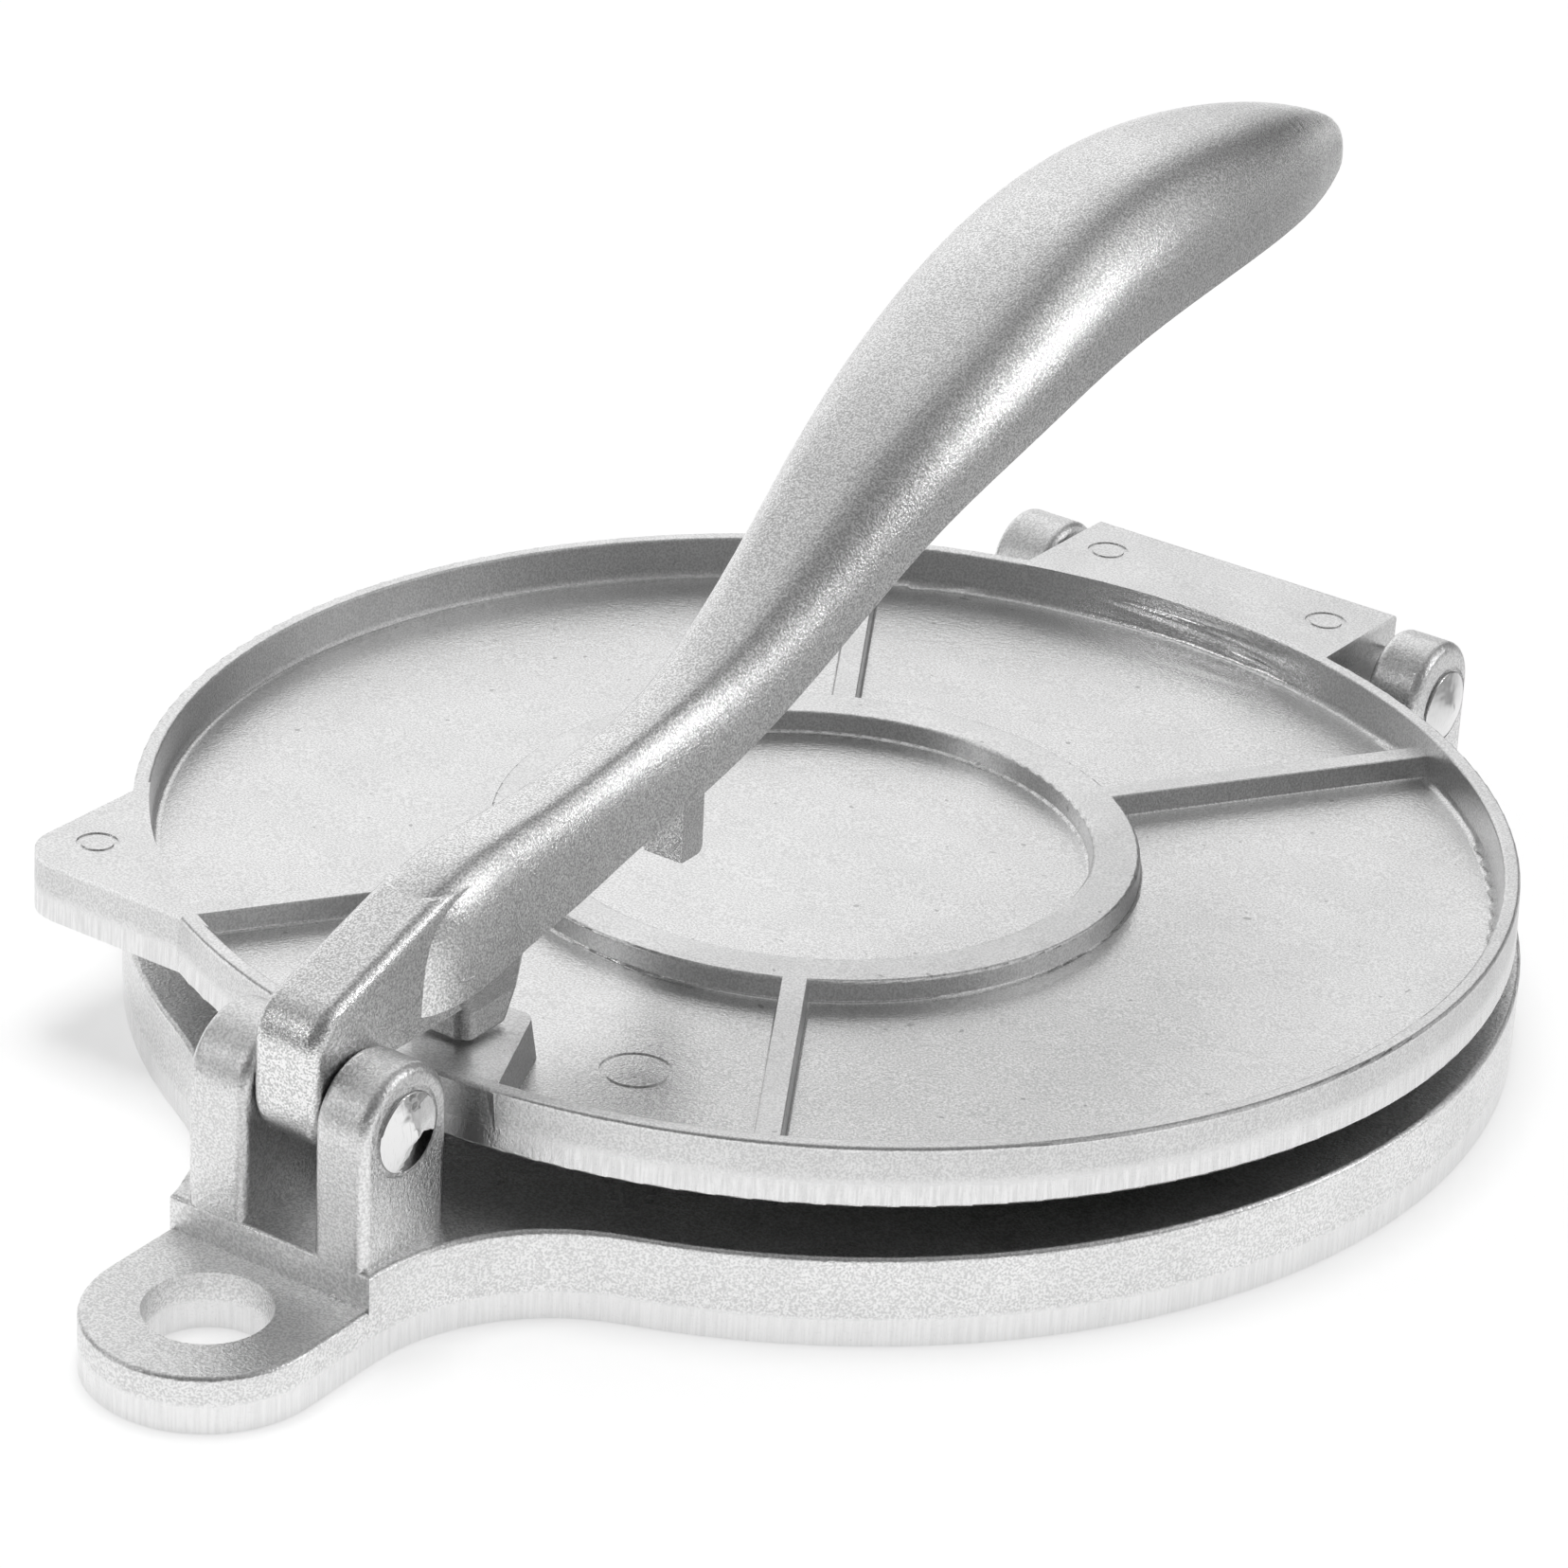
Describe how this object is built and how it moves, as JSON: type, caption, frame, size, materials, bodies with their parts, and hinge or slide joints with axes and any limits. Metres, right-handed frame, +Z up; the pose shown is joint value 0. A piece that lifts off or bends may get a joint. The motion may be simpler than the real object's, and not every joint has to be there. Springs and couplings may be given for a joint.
{
  "type": "tortilla press",
  "caption": "Cast aluminium press with two round plates hinged at the back and a long lever at the front that squeezes them together.",
  "frame": {"origin": "centre of the round base, on the surface that it stands on", "axes": "+Z up; +Y from the lever pivot at the front to the plate hinge at the back; +X to the right seen from the front"},
  "size_m": [0.2, 0.2828, 0.1075],
  "materials": {
    "base_casting": "satin",
    "top_casting": "satin",
    "lever_casting": "satin",
    "cap_chrome": "polished",
    "pin_steel": "brushed"
  },
  "bodies": {
    "base": {"base_plate": "base_casting", "lever_pin": "pin_steel", "lever_pin_cap_right": "cap_chrome", "lever_pin_cap_left": "cap_chrome", "lever_pin_washer_right": "pin_steel", "lever_pin_washer_left": "pin_steel", "hinge_pin": "pin_steel", "hinge_pin_cap_right": "cap_chrome", "hinge_pin_cap_left": "cap_chrome", "hinge_pin_washer_right": "pin_steel", "hinge_pin_washer_left": "pin_steel"},
    "plate": {"top_plate": "top_casting"},
    "lever_arm": {"lever": "lever_casting"}
  },
  "joints": [
    {"name": "lever_swing", "type": "hinge", "parent": "base", "child": "lever_arm", "pos_m": [0, -0.114, 0.0305], "axis": [1, 0, 0], "range_deg": [0, 160]},
    {"name": "plate_hinge", "type": "hinge", "parent": "base", "child": "plate", "pos_m": [0, 0.11, 0.0145], "axis": [-1, 0, 0], "range_deg": [-1.5, 0]}
  ]
}
